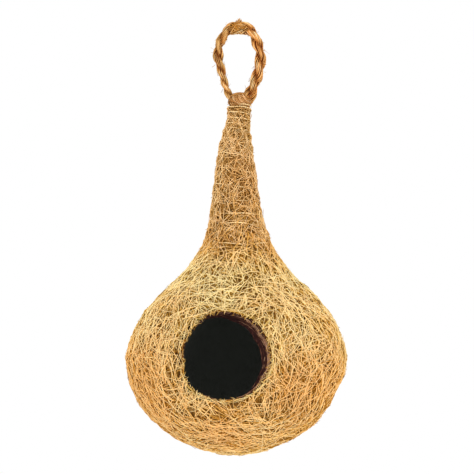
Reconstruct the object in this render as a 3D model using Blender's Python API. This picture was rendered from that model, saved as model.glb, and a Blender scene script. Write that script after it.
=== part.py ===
"""Hanging bird nest of matted coconut fibre (coir).

A hollow bulb of felted coir, with a round entrance, is drawn up into a long neck. A
two-strand coir rope makes the hanging loop: its legs are sunk in the top of the neck,
with a wad of coir packed between them, and a thin thread is wound down the neck.

Metres, +Z up. The entrance faces -Y. The origin is the point at the crown of the loop
where a hook bears, so the whole nest hangs below it.
"""

import math

import bmesh
import bpy
from mathutils import Vector

MM = 0.001

# Nest body: the outline's half-width at each height, from the neck's top to the bottom.
NECK_TOP_Z = -58.0 * MM
BOTTOM_Z = -343.5 * MM
OUTLINE = [
    (10.0 * MM, NECK_TOP_Z),
    (10.2 * MM, -74.0 * MM),
    (15.2 * MM, -104.0 * MM),
    (19.5 * MM, -142.0 * MM),
    (26.5 * MM, -170.0 * MM),
    (43.0 * MM, -193.0 * MM),
    (67.0 * MM, -217.0 * MM),
    (84.5 * MM, -241.0 * MM),
    (90.0 * MM, -264.0 * MM),
    (85.5 * MM, -290.0 * MM),
    (69.5 * MM, -315.0 * MM),
    (44.0 * MM, -333.5 * MM),
    (18.0 * MM, -342.0 * MM),
    (0.0, BOTTOM_Z),
]
STEPS_PER_SPAN = 2  # rings of the body between two points of the outline
BODY_SIDES = 44

# The felt isn't quite straight: its middle wanders from side to side on the way down.
AXIS_X = [
    (0.0, NECK_TOP_Z),
    (-3.2 * MM, -95.0 * MM),
    (-3.2 * MM, -150.0 * MM),
    (-1.6 * MM, -215.0 * MM),
    (-4.0 * MM, -290.0 * MM),
    (-4.0 * MM, BOTTOM_Z),
]

# Chamber inside the bulb, one wall thickness in from the outside.
WALL = 8.0 * MM
CHAMBER_TOP_Z = -184.0 * MM
CHAMBER_LEAST_RADIUS = 5.0 * MM
CHAMBER_DOME = 2.0 * MM  # height of the low dome that closes it at the top
CUT_MARGIN = 2.0 * MM  # how far a cut runs past the surface that it opens

# Entrance: nearly round, and cut a little askew, so that the lip shows on its upper +X side.
ENTRANCE_WIDTH = 68.2 * MM
ENTRANCE_HEIGHT = 72.8 * MM
ENTRANCE_RIM = Vector((-2.5 * MM, -83.0 * MM, -258.4 * MM))  # middle of its outer rim
ENTRANCE_SKEW = Vector((-5.5 * MM, 0.0, -3.0 * MM))  # the inner rim's shift, one wall in
ENTRANCE_REACH = 14.0 * MM  # how far the cut runs past the outer rim, out and in
ENTRANCE_SIDES = 40

# Rope: two strands twisted together along the loop, from the foot of one leg to the other's.
LEG_X = 3.95 * MM
LEG_FOOT_Z = -78.0 * MM
ROPE_ROUTE = [
    (-LEG_X, LEG_FOOT_Z),
    (-LEG_X, -69.0 * MM),
    (-LEG_X, -59.5 * MM),
    (-7.4 * MM, -52.5 * MM),
    (-10.9 * MM, -44.0 * MM),
    (-14.0 * MM, -33.0 * MM),
    (-17.4 * MM, -19.0 * MM),
    (-16.6 * MM, -8.5 * MM),
    (-12.4 * MM, 0.0),
    (-7.0 * MM, 5.2 * MM),
    (0.0, 6.9 * MM),
    (7.0 * MM, 4.6 * MM),
    (12.2 * MM, -1.5 * MM),
    (15.4 * MM, -10.0 * MM),
    (17.3 * MM, -19.0 * MM),
    (15.6 * MM, -30.5 * MM),
    (12.0 * MM, -41.0 * MM),
    (7.9 * MM, -51.5 * MM),
    (LEG_X, -59.5 * MM),
    (LEG_X, -69.0 * MM),
    (LEG_X, LEG_FOOT_Z),
]
ROPE_LAY = 21.0 * MM  # length of one full turn of a strand
ROPE_STEP = 2.0 * MM
ROUTE_STEPS = 12  # points of the smooth curve between two points of the route
GAP = 0.35 * MM  # air between neighbouring pieces
ROPE_GIRTH = [  # rope diameter, at these fractions of its length
    (7.0 * MM, 0.0),
    (7.2 * MM, 0.16),
    (8.2 * MM, 0.34),
    (9.2 * MM, 0.50),
    (10.2 * MM, 0.68),
    (9.4 * MM, 0.80),
    (7.2 * MM, 0.89),
    (7.0 * MM, 1.0),
]
SOCKET_SLACK = 0.8 * MM  # air round the rope's feet in the top of the neck
SOCKET_END_SIDES = 8

# Pad of coir wound round the crown of the loop. Its underside is the hook point.
PAD_HALF_LENGTH = 9.5 * MM
PAD_THICKNESS = 2.2 * MM
PAD_TAPER = 0.9  # how nearly the pad comes down to the rope at its two ends
PAD_SIDES = 14
PAD_STEPS = 8

# Wad of coir between the rope's legs.
WAD_TOP_Z = -45.5 * MM
WAD_FOOT_Z = NECK_TOP_Z + GAP
WAD_DEPTH = 14.0 * MM
WAD_FULLNESS = 1.5  # how quickly the wad fills the space between the legs
WAD_LEAST_WIDTH = 0.4 * MM
WAD_SIDES = 16
WAD_RINGS = 7

# Thread: the height at which each turn crosses the front of the neck.
THREAD_DIAMETER = 1.0 * MM
THREAD_HEIGHTS = [
    -59.5 * MM,
    -61.5 * MM,
    -69.0 * MM,
    -77.5 * MM,
    -85.5 * MM,
    -98.0 * MM,
    -111.0 * MM,
    -123.0 * MM,
    -135.5 * MM,
    -148.0 * MM,
    -157.0 * MM,
    -170.0 * MM,
    -172.5 * MM,
]
THREAD_STEPS = 18  # points in one turn

FELT_COLOUR = (0.62, 0.36, 0.13)
ROPE_COLOUR = (0.42, 0.20, 0.07)
WAD_COLOUR = (0.40, 0.18, 0.07)
THREAD_COLOUR = (0.80, 0.60, 0.34)


def clear_scene():
    for item in list(bpy.data.objects):
        bpy.data.objects.remove(item, do_unlink=True)


def matt_material(name, colour):
    """A dry, matt fibre finish."""
    material = bpy.data.materials.new(name)
    material.use_nodes = True
    shader = material.node_tree.nodes["Principled BSDF"]
    shader.inputs["Base Color"].default_value = (*colour, 1.0)
    shader.inputs["Roughness"].default_value = 0.9
    shader.inputs["Metallic"].default_value = 0.0
    return material


def add_object(name, data, material=None):
    item = bpy.data.objects.new(name, data)
    bpy.context.scene.collection.objects.link(item)
    if material:
        data.materials.append(material)
    return item


def smooth_points(points, steps):
    """A smooth curve (Catmull-Rom) through the points, with this many steps a span."""
    points = [Vector(p) for p in points]
    ends = [2 * points[0] - points[1], *points, 2 * points[-1] - points[-2]]
    curve = []
    for a, b, c, d in zip(ends, ends[1:], ends[2:], ends[3:]):
        for i in range(steps):
            t = i / steps
            curve.append(
                0.5 * (2 * b + (c - a) * t + (2 * a - 5 * b + 4 * c - d) * t**2)
                + 0.5 * (3 * b - a - 3 * c + d) * t**3
            )
    return curve + [points[-1]]


def look_up(table, key):
    """The value at a key in a table of (value, key) pairs, smoothed between them."""
    table = sorted(table, key=lambda row: row[1])
    if key <= table[0][1]:
        return table[0][0]
    for (low, start), (high, end) in zip(table, table[1:]):
        if key <= end:
            t = (key - start) / (end - start)
            return low + (high - low) * t * t * (3 - 2 * t)
    return table[-1][0]


def axis_x(z):
    return look_up(AXIS_X, z)


def outline_radius(outside, z):
    """Half-width of the body at a height."""
    for above, below in zip(outside, outside[1:]):
        if above[1] >= z >= below[1]:
            t = (above[1] - z) / (above[1] - below[1])
            return above[0] + (below[0] - above[0]) * t
    return outside[0][0]


def turned_mesh(name, profile):
    """A closed solid turned from (radius, height) points, top to bottom, round the felt's middle."""
    shape = bmesh.new()
    rings = []
    for radius, z in profile:
        centre = Vector((axis_x(z), 0.0, z))
        if radius < 1e-6:
            rings.append([shape.verts.new(centre)])
            continue
        angles = [2 * math.pi * i / BODY_SIDES for i in range(BODY_SIDES)]
        rings.append(
            [
                shape.verts.new(centre + radius * Vector((math.cos(a), math.sin(a), 0)))
                for a in angles
            ]
        )
    join_rings(shape, rings)
    return finished_mesh(name, shape)


def join_rings(shape, rings):
    """Faces between rings of corners, with flat ends or single points at the two ends."""
    for upper, lower in zip(rings, rings[1:]):
        count = max(len(upper), len(lower))
        for i in range(count):
            j = (i + 1) % count
            corners = []
            for corner in (
                upper[i % len(upper)],
                lower[i % len(lower)],
                lower[j % len(lower)],
                upper[j % len(upper)],
            ):
                if corner not in corners:
                    corners.append(corner)
            shape.faces.new(corners)
    for end in (rings[0], rings[-1]):
        if len(end) > 1:
            shape.faces.new(end)


def finished_mesh(name, shape):
    bmesh.ops.recalc_face_normals(shape, faces=shape.faces)
    mesh = bpy.data.meshes.new(name)
    shape.to_mesh(mesh)
    shape.free()
    return mesh


def cut(item, cutter):
    """Take the cutter's shape out of the item."""
    cutter.hide_render = True
    cutter.display_type = "WIRE"
    modifier = item.modifiers.new(cutter.name, "BOOLEAN")
    modifier.operation = "DIFFERENCE"
    modifier.solver = "EXACT"
    modifier.object = cutter


def chamber_profile(outside):
    """The outline moved inwards by the wall, closed by a low dome under the neck."""
    inside = [Vector((0.0, CHAMBER_TOP_Z))]
    for before, here, after in zip(outside, outside[1:], outside[2:]):
        along = (after - before).normalized()
        point = here + WALL * Vector((along[1], -along[0]))
        if point[0] > CHAMBER_LEAST_RADIUS and point[1] < CHAMBER_TOP_Z - CHAMBER_DOME:
            inside.append(point)
    return inside + [Vector((0.0, BOTTOM_Z + WALL))]


def entrance_cutter():
    """A skewed, nearly round plug that passes through the front wall only."""
    inwards = (ENTRANCE_SKEW + Vector((0.0, WALL, 0.0))) * ENTRANCE_REACH / WALL
    shape = bmesh.new()
    rings = []
    for centre in (ENTRANCE_RIM - inwards, ENTRANCE_RIM + inwards):
        ring = []
        for i in range(ENTRANCE_SIDES):
            a = 2 * math.pi * i / ENTRANCE_SIDES
            x = ENTRANCE_WIDTH / 2 * math.cos(a)
            z = ENTRANCE_HEIGHT / 2 * math.sin(a)
            ring.append(shape.verts.new(centre + Vector((x, 0, z))))
        rings.append(ring)
    join_rings(shape, rings)
    return add_object("entrance_cutter", finished_mesh("entrance_cutter", shape))


def rope_socket_cutter():
    """A slot with round ends, in the top of the neck, that holds both feet of the rope."""
    radius = ROPE_GIRTH[0][0] / 2 + SOCKET_SLACK
    outline = []
    for side, first in ((1, -math.pi / 2), (-1, math.pi / 2)):
        for i in range(SOCKET_END_SIDES + 1):
            a = first + math.pi * i / SOCKET_END_SIDES
            outline.append((side * LEG_X + radius * math.cos(a), radius * math.sin(a)))
    shape = bmesh.new()
    rings = []
    for z in (NECK_TOP_Z + CUT_MARGIN, LEG_FOOT_Z - 2 * SOCKET_SLACK):
        rings.append([shape.verts.new((x, y, z)) for x, y in outline])
    join_rings(shape, rings)
    return add_object("rope_socket_cutter", finished_mesh("rope_socket_cutter", shape))


def make_nest_body(material):
    outside = smooth_points(OUTLINE, STEPS_PER_SPAN)
    body = add_object("nest_body", turned_mesh("nest_body", outside), material)
    chamber = turned_mesh("chamber_cutter", chamber_profile(outside))
    cut(body, add_object("chamber_cutter", chamber))
    cut(body, entrance_cutter())
    cut(body, rope_socket_cutter())
    return body


def rope_stations():
    """Evenly spaced (point, direction, distance) along the rope's middle."""
    curve = [Vector((x, 0.0, z)) for x, z in smooth_points(ROPE_ROUTE, ROUTE_STEPS)]
    walked = [0.0]
    for a, b in zip(curve, curve[1:]):
        walked.append(walked[-1] + (b - a).length)
    count = round(walked[-1] / ROPE_STEP)
    stations = []
    span = 0
    for i in range(count + 1):
        distance = walked[-1] * i / count
        while span < len(curve) - 2 and walked[span + 1] < distance:
            span += 1
        t = (distance - walked[span]) / (walked[span + 1] - walked[span])
        point = curve[span].lerp(curve[span + 1], t)
        stations.append((point, (curve[span + 1] - curve[span]).normalized(), distance))
    return stations


def rope_radius(distance, length):
    return look_up(ROPE_GIRTH, distance / length) / 2


def tube_object(name, points, radii, material):
    """A tube with six sides and closed ends through the points."""
    curve = bpy.data.curves.new(name, "CURVE")
    curve.dimensions = "3D"
    curve.bevel_depth = max(radii)
    curve.bevel_resolution = 1
    curve.use_fill_caps = True
    line = curve.splines.new("POLY")
    line.points.add(len(points) - 1)
    for corner, point, radius in zip(line.points, points, radii):
        corner.co = (*point, 1.0)
        corner.radius = radius / curve.bevel_depth
    return add_object(name, curve, material)


def make_strand(name, phase, material):
    """One strand of the rope, a helix round the rope's middle."""
    stations = rope_stations()
    length = stations[-1][2]
    points = []
    radii = []
    for point, along, distance in stations:
        half = rope_radius(distance, length)
        radius = half / 2 - GAP / 2
        turn = phase + 2 * math.pi * distance / ROPE_LAY
        across = along.cross(Vector((0, 1, 0)))
        off = math.cos(turn) * across + math.sin(turn) * Vector((0, 1, 0))
        points.append(point + half / 2 * off)
        radii.append(radius)
    return tube_object(name, points, radii, material)


def make_loop_wad(material):
    """A fat sleeve round the rope at the crown of the loop."""
    stations = rope_stations()
    length = stations[-1][2]
    crown = max(stations, key=lambda s: s[0].z)[2]
    crown_radius = rope_radius(crown, length)

    def ring(offset, radius):
        point, along, _ = min(stations, key=lambda s: abs(s[2] - crown - offset))
        across = along.cross(Vector((0, 1, 0)))
        corners = []
        for i in range(PAD_SIDES):
            a = 2 * math.pi * i / PAD_SIDES
            off = math.cos(a) * across + math.sin(a) * Vector((0, 1, 0))
            corners.append(point + radius * off)
        return corners

    offsets = [PAD_HALF_LENGTH * (2 * i / PAD_STEPS - 1) for i in range(PAD_STEPS + 1)]
    bore = crown_radius + 2 * GAP
    rings = []
    for offset in offsets:
        swell = math.cos(math.pi / 2 * PAD_TAPER * offset / PAD_HALF_LENGTH)
        rings.append(ring(offset, bore + PAD_THICKNESS * swell))
    rings += [ring(offset, bore) for offset in reversed(offsets)]
    shape = bmesh.new()
    made = [[shape.verts.new(corner) for corner in corners] for corners in rings]
    for upper, lower in zip(made, made[1:] + made[:1]):
        for i in range(PAD_SIDES):
            j = (i + 1) % PAD_SIDES
            shape.faces.new((upper[i], upper[j], lower[j], lower[i]))
    return add_object("loop_wad", finished_mesh("loop_wad", shape), material)


def make_neck_wad(material):
    """A plug between the rope's legs, as wide as the space they leave at each height."""
    stations = rope_stations()
    length = stations[-1][2]
    half = len(stations) // 2

    def inner_edge(z, leg, side):
        point, _, distance = min(leg, key=lambda s: abs(s[0][2] - z))
        return point[0] - side * (rope_radius(distance, length) + GAP)

    shape = bmesh.new()
    rings = []
    for i in range(WAD_RINGS + 1):
        t = i / WAD_RINGS
        z = WAD_TOP_Z + (WAD_FOOT_Z - WAD_TOP_Z) * t
        left = inner_edge(z, stations[:half], -1)
        right = inner_edge(z, stations[half:], 1)
        roundness = math.sqrt(max(0.0, 1 - (1 - 2 * t) ** 2))
        width = max(0.0, right - left) * min(1.0, WAD_FULLNESS * roundness)
        if width < WAD_LEAST_WIDTH or roundness == 0.0:
            rings.append([shape.verts.new(((left + right) / 2, 0.0, z))])
            continue
        ring = []
        for k in range(WAD_SIDES):
            a = 2 * math.pi * k / WAD_SIDES
            x = (left + right) / 2 + width / 2 * math.cos(a)
            ring.append(shape.verts.new((x, WAD_DEPTH / 2 * roundness * math.sin(a), z)))
        rings.append(ring)
    join_rings(shape, rings)
    return add_object("neck_wad", finished_mesh("neck_wad", shape), material)


def make_thread(material):
    """The thread wound down the outside of the neck."""
    outside = smooth_points(OUTLINE, STEPS_PER_SPAN)
    lift = THREAD_DIAMETER / 2 + GAP
    chord = 1 / math.cos(math.pi / THREAD_STEPS)  # keeps straight runs off the round neck
    points = []
    for start, end in zip(THREAD_HEIGHTS, THREAD_HEIGHTS[1:]):
        for i in range(THREAD_STEPS):
            t = i / THREAD_STEPS
            z = start + (end - start) * t
            radius = outline_radius(outside, z) * chord + lift
            a = -math.pi / 2 + 2 * math.pi * t
            points.append(
                Vector((axis_x(z) + radius * math.cos(a), radius * math.sin(a), z))
            )
    radii = [THREAD_DIAMETER / 2] * len(points)
    return tube_object("binding_thread", points, radii, material)


def main():
    clear_scene()
    felt = matt_material("coir_felt", FELT_COLOUR)
    rope = matt_material("coir_rope", ROPE_COLOUR)
    wad = matt_material("coir_wad", WAD_COLOUR)
    thread = matt_material("pale_thread", THREAD_COLOUR)
    make_nest_body(felt)
    make_strand("rope_strand_a", 0.0, rope)
    make_strand("rope_strand_b", math.pi, rope)
    make_loop_wad(wad)
    make_neck_wad(wad)
    make_thread(thread)


main()
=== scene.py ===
"""Looks of a hanging bird nest of matted coconut fibre.

The nest is felted from thousands of coir fibres over a hollow bulb and a long neck. A hairy
two-strand coir rope makes the loop, and a pale thread is wound down the neck. Each operator
makes one piece or one group of like pieces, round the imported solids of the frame.
"""

import math

import bpy
import numpy as np
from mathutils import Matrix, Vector
from mathutils.bvhtree import BVHTree


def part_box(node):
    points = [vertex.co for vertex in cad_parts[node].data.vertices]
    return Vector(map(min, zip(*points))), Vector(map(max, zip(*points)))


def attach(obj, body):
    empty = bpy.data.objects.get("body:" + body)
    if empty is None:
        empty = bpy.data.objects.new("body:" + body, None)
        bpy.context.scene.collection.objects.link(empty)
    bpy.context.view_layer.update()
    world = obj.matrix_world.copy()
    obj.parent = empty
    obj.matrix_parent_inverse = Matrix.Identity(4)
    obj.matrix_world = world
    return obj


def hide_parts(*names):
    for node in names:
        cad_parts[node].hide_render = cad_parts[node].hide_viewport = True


bl_info = {
    "name": "Coir Hanging Nest",
    "version": (1, 0, 0),
    "blender": (4, 5, 0),
    "location": "3D View > Sidebar > Coir Nest",
    "description": "Makes a felted coir nest with a rope loop, fibre by fibre",
    "category": "Add Mesh",
}

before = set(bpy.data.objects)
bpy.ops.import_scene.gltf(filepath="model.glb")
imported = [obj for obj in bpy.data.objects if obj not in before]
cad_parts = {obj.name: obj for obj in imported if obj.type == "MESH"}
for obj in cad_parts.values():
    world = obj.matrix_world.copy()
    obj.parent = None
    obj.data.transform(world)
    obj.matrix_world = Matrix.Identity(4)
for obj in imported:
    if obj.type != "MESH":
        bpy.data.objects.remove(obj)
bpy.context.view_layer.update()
MM = 0.001
BODY = "root"
UV_NAME = "OFBake"

# Rope: the middle of the loop, from the foot of one leg to the foot of the other.
LEG_X = 3.95  # millimetres
LEG_FOOT_Z = -78.0  # millimetres
ROPE_ROUTE = MM * np.array(
    [(-LEG_X, LEG_FOOT_Z), (-LEG_X, -69.0), (-LEG_X, -59.5), (-7.4, -52.5), (-10.9, -44.0)]
    + [(-14.0, -33.0), (-17.4, -19.0), (-16.6, -8.5), (-12.4, 0.0), (-7.0, 5.2), (0.0, 6.9)]
    + [(7.0, 4.6), (12.2, -1.5), (15.4, -10.0), (17.3, -19.0), (15.6, -30.5), (12.0, -41.0)]
    + [(7.9, -51.5), (LEG_X, -59.5), (LEG_X, -69.0), (LEG_X, LEG_FOOT_Z)]
)
ROPE_GIRTH = [  # rope diameter in millimetres, at these fractions of its length
    (6.4, 0.0),
    (6.4, 0.20),
    (7.4, 0.27),
    (9.2, 0.32),
    (7.8, 0.375),
    (8.8, 0.42),
    (9.6, 0.58),
    (9.0, 0.65),
    (10.6, 0.74),
    (9.2, 0.79),
    (10.6, 0.835),
    (10.2, 0.885),
    (7.8, 1.0),
]
ROPE_LAY = 3.0  # one turn of a ply, in rope diameters
ROPE_START_TURN = math.radians(130)
ROPE_YARNS = 22  # in each ply
ROPE_HAIRS = 150

# Wads: how many fibres each has, and the point that the neck wad's fibres curve round.
LOOP_WAD_FIBRES = 130
TUFT_FIBRES = 46
NECK_WAD_FIBRES = 420
NECK_WAD_ARCS = 620
LEG_FOOT_TURN = (10.2 * MM, -46.0 * MM)

# Thread: the height at which each turn crosses the front of the neck.
THREAD_HEIGHTS = MM * np.array(
    [-57.8, -59.6, -64.0, -68.5, -73.0, -77.0, -86.0, -98.0]
    + [-110.5, -124.0, -136.0, -146.5, -154.0, -171.0, -173.5]
)
THREAD_LAY = 3.4 * MM  # one turn of a ply
THREAD_STEPS = 60  # points in each turn round the neck

# Entrance: the middle of its outer rim, and how far the inner rim is shifted, one wall in.
ENTRANCE_X = -2.6 * MM
ENTRANCE_Z = -260.1 * MM
ENTRANCE_RADIUS = 34.4 * MM
ENTRANCE_SKEW = np.array((-5.5, 0.0, -3.0)) * MM
LIP_EDGE = 2.6 * MM  # how far from the rim the felt begins to roll over
WALL = 8.0 * MM
WALL_FIBRES = 1100
RIM_FIBRES = 110
RIM_ENDS = 210

# Places where the hand-made felt is fuller or flatter: the side's angle, then the height, the
# spread and the amount in millimetres.
FULL_PLACES = [
    (0.0, -268.0, 15.0, 2.2),
    (0.0, -160.0, 22.0, 1.6),
    (math.pi, -285.0, 16.0, -2.0),
    (math.pi, -246.0, 14.0, -1.2),
    (0.0, -296.0, 12.0, -1.4),
    (0.0, -200.0, 7.0, -1.6),
    (math.pi, -160.0, 12.0, -0.8),
]

# Felt fibres: each layer's share of the cover, lowest and highest lift in millimetres,
# thickness, tone and its spread. The deeper layers' darker tone is painted shade between the
# fibres.
FELT_LAYERS = [
    (0.30, (-2.5, -1.7), 1.0, 0.10, 0.12),
    (0.35, (-1.7, -0.9), 1.0, 0.55, 0.26),
    (0.35, (-0.9, -0.1), 1.12, 1.08, 0.16),
]
GROUND_MESH = 2.6 * MM
CROWN_TOP = -172 * MM
BELLY_TOP = -232 * MM
BASE_TOP = -288 * MM
STRAY_HAIRS = 1100

# Studio: what the camera aims at, how far it is turned, and the picture's height at the nest.
CAMERA_AIM = Vector((-2.05 * MM, 0.0, -166.1 * MM))
CAMERA_TURN = math.radians(5.0)
PICTURE_HEIGHT = 388.7 * MM

# The multiples of these two fractions fill a square evenly, in no order.
EVEN_STEPS = np.array(((0.7548776662,), (0.5698402910,)))
Y_AXIS = (0.0, 1.0, 0.0)


# ---------------------------------------------------------------- numbers and vectors


def draws(name):
    """Random numbers for one piece, the same on every run."""
    return np.random.default_rng([ord(letter) for letter in name])


def unit(vectors):
    """The same directions, each one unit long."""
    length = np.linalg.norm(vectors, axis=-1, keepdims=True)
    return vectors / np.maximum(length, 1e-12)


def turned(vectors, axes, angle):
    """Vectors turned about unit axes that they are square to."""
    angle = np.asarray(angle)[..., None]
    return vectors * np.cos(angle) + np.cross(axes, vectors) * np.sin(angle)


def blended(start, end, value):
    """0 below start, 1 above end, and smooth between them."""
    t = np.clip((value - start) / (end - start), 0, 1)
    return t * t * (3 - 2 * t)


def ripple(points, size, seed, waves=7):
    """A smooth, uneven field between about -1 and 1, whose lumps are this size."""
    rng = np.random.default_rng(seed)
    total = 0
    for _ in range(waves):
        direction = unit(rng.normal(size=3)) * 2 * math.pi / size * rng.uniform(0.6, 1.5)
        total = total + np.sin(points @ direction + rng.uniform(0, 2 * math.pi))
    return total / math.sqrt(waves)


def smooth_line(points, steps):
    """A smooth curve (Catmull-Rom) through the points, with this many steps a span."""
    points = np.asarray(points, float)
    ends = np.vstack([2 * points[:1] - points[1:2], points, 2 * points[-1:] - points[-2:-1]])
    t = np.linspace(0, 1, steps, endpoint=False)[:, None]
    runs = []
    for a, b, c, d in zip(ends, ends[1:], ends[2:], ends[3:]):
        run = 2 * b + (c - a) * t + (2 * a - 5 * b + 4 * c - d) * t**2
        runs.append(0.5 * (run + (3 * b - a - 3 * c + d) * t**3))
    return np.vstack([*runs, points[-1:]])


def square_to(line):
    """Directions along a line, across it in the plane of the loop, and level with the front."""
    along = unit(np.gradient(line, axis=0))
    across = unit(np.cross(along, Y_AXIS))
    return along, across, np.cross(across, along)


def walked_along(line):
    """How far along a line each of its points is."""
    return np.r_[0, np.cumsum(np.linalg.norm(np.diff(line, axis=0), axis=1))]


def even_line(line, step):
    """The same line with points about this far apart, and how far along each of them is."""
    walked = walked_along(line)
    at = np.linspace(0, walked[-1], max(2, round(walked[-1] / step) + 1))
    return np.stack([np.interp(at, walked, column) for column in line.T], 1), at


# ------------------------------------------------------------------------ the felt


class Felt:
    """The outside of the felted body: a turned shape read from the frame's solid."""

    def __init__(self, node):
        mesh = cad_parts[node].data
        corners = [v.co for v in mesh.vertices]
        tree = BVHTree.FromPolygons(corners, [p.vertices for p in mesh.polygons])
        low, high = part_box(node)
        far = 2 * (high.x - low.x)
        levels = np.linspace(high.z - 0.1 * MM, low.z + 0.1 * MM, 160)
        sides = []
        for z in levels:
            right = tree.ray_cast(Vector((far, 0, z)), Vector((-1, 0, 0)))[0].x
            left = tree.ray_cast(Vector((-far, 0, z)), Vector((1, 0, 0)))[0].x
            sides.append(((right + left) / 2, (right - left) / 2))
        middle, radius = np.array(sides).T
        self.top, self.bottom = float(high.z), float(low.z)
        self.middle_z, self.middle_x = levels[::-1], middle[::-1]
        line = np.stack([np.r_[radius, 0], np.r_[levels, low.z]], 1)
        line, self.along = even_line(line, 1.2 * MM)
        self.radius, self.height = line.T
        slope = unit(np.gradient(line, axis=0))
        self.slope = slope
        self.normal = np.stack([-slope[:, 1], slope[:, 0]], 1)

    def middle(self, z):
        """How far to the side the felt's middle is at these heights."""
        return np.interp(z, self.middle_z, self.middle_x)

    def radius_at(self, z):
        """How wide the felt is at these heights, from its middle."""
        return np.interp(-z, -self.height[:-1], self.radius[:-1])

    def settle(self, points):
        """The nearest places on the felt, and the directions straight out from it there."""
        shape = points.shape
        points = points.reshape(-1, 3)
        x = points[:, 0] - self.middle(points[:, 2])
        y, z = points[:, 1], points[:, 2]
        out = np.hypot(x, y)
        away = (out[:, None] - self.radius) ** 2 + (z[:, None] - self.height) ** 2
        at = away.argmin(1)
        slope, normal = self.slope[at], self.normal[at]
        run = (out - self.radius[at]) * slope[:, 0] + (z - self.height[at]) * slope[:, 1]
        run = np.clip(run, -1 * MM, 1 * MM)
        radius = np.maximum(self.radius[at] + run * slope[:, 0], 0)
        height = self.height[at] + run * slope[:, 1]
        cos, sin = x / np.maximum(out, 1e-9), y / np.maximum(out, 1e-9)
        place = np.stack([self.middle(height) + radius * cos, radius * sin, height], 1)
        outward = np.stack([normal[:, 0] * cos, normal[:, 0] * sin, normal[:, 1]], 1)
        return place.reshape(shape), unit(outward).reshape(shape)

    def front(self, x, z):
        """The places on the front of the felt at these widths and heights."""
        radius = self.radius_at(z)
        y = -np.sqrt(np.maximum(radius**2 - (x - self.middle(z)) ** 2, 0))
        return np.stack([x, y, z], -1)

    def scatter(self, rng, count, top, bottom):
        """Random places between two heights, spread evenly over the surface."""
        zone = (self.height <= top) & (self.height >= bottom)
        share = np.cumsum(self.radius * zone)
        down, turn = (rng.uniform(0, 1, 2)[:, None] + EVEN_STEPS * np.arange(count)) % 1
        at = np.interp(down * share[-1], share, np.arange(len(share)))
        radius = np.interp(at, np.arange(len(share)), self.radius)
        height = np.interp(at, np.arange(len(share)), self.height)
        turn = 2 * math.pi * turn
        x = self.middle(height) + radius * np.cos(turn)
        return np.stack([x, radius * np.sin(turn), height], 1)

    def swell(self, points):
        """How far the felt stands out or in: hand-made lumps, and hollows under the thread."""
        z = points[..., 2]
        lumps = 0.7 * ripple(points, 60 * MM, 11) + 0.45 * ripple(points, 19 * MM, 12)
        neck = on_neck(z)
        sunk = thread_sunk(z)
        beside = blended(0, 4.5 * MM, thread_gap(self, points))
        pinch = (1.1 - 0.75 * sunk) * beside + 0.1 + 0.3 * sunk
        base = 0.9 * (1 - blended(-342 * MM, -326 * MM, z))
        total = (lumps * (1 - 0.55 * neck) + pinch * neck + base) * MM
        turn = np.arctan2(points[..., 1], points[..., 0] - self.middle(z))
        for side, height, spread, amount in FULL_PLACES:
            facing = np.maximum(np.cos(turn - side), 0) ** 2
            near = np.exp(-(((z - height * MM) / (spread * MM)) ** 2))
            total = total + amount * MM * facing * near
        return total


def on_neck(z):
    """0 on the bulb, 1 on the neck."""
    return blended(-185 * MM, -165 * MM, z)


def thread_sunk(z):
    """1 on the long middle of the neck, where the thread is sunk in the felt, and 0 elsewhere."""
    return blended(-80 * MM, -92 * MM, z) * blended(-169 * MM, -163 * MM, z)


def thread_gap(felt, points):
    """The height between each point and the nearest turn of the thread."""
    x = points[..., 0] - felt.middle(points[..., 2])
    turn = (np.arctan2(points[..., 1], x) / (2 * math.pi) + 0.25) % 1
    near = np.full(points.shape[:-1], 1.0)
    for start, end in zip(THREAD_HEIGHTS, THREAD_HEIGHTS[1:]):
        near = np.minimum(near, np.abs(points[..., 2] - start - (end - start) * turn))
    return near


def grown(felt, start, heading, length, bend, kinks):
    """Fibres that set off over the felt from their starts, bending and kinking as they go.

    kinks holds the turn that each fibre makes at each of its steps.
    """
    place, normal = felt.settle(start)
    heading = unit(heading - (heading * normal).sum(1, keepdims=True) * normal)
    step = (length / kinks.shape[1])[:, None]
    paths = [place]
    for kink in kinks.T:
        heading = turned(heading, normal, bend * step[:, 0] + kink)
        place, normal = felt.settle(place + step * heading)
        heading = unit(heading - (heading * normal).sum(1, keepdims=True) * normal)
        paths.append(place)
    return np.stack(paths, 1)


def rim_radius(angle):
    """The entrance's radius in each direction: round, but for dents and a full lower -X side."""
    dents = 0.35 * np.cos(3 * angle + 0.6) + 0.3 * np.cos(7 * angle) + 0.2 * np.cos(12 * angle + 2)
    full = 2.2 * np.exp(-((np.angle(np.exp(1j * (angle + 2.42))) / 0.35) ** 2))
    return ENTRANCE_RADIUS + (dents + full) * MM


def from_entrance(points):
    """How far each point is outside the entrance's rim, and in which direction."""
    x = points[..., 0] - ENTRANCE_X
    z = points[..., 2] - ENTRANCE_Z
    angle = np.arctan2(z, x)
    return np.where(points[..., 1] < 0, np.hypot(x, z) - rim_radius(angle), 1.0), angle


def round_rim(felt, angle, far=0.0):
    """Places on the front of the felt, this far outside the entrance's rim."""
    reach = rim_radius(angle) + far
    return felt.front(ENTRANCE_X + reach * np.cos(angle), ENTRANCE_Z + reach * np.sin(angle))


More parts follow.
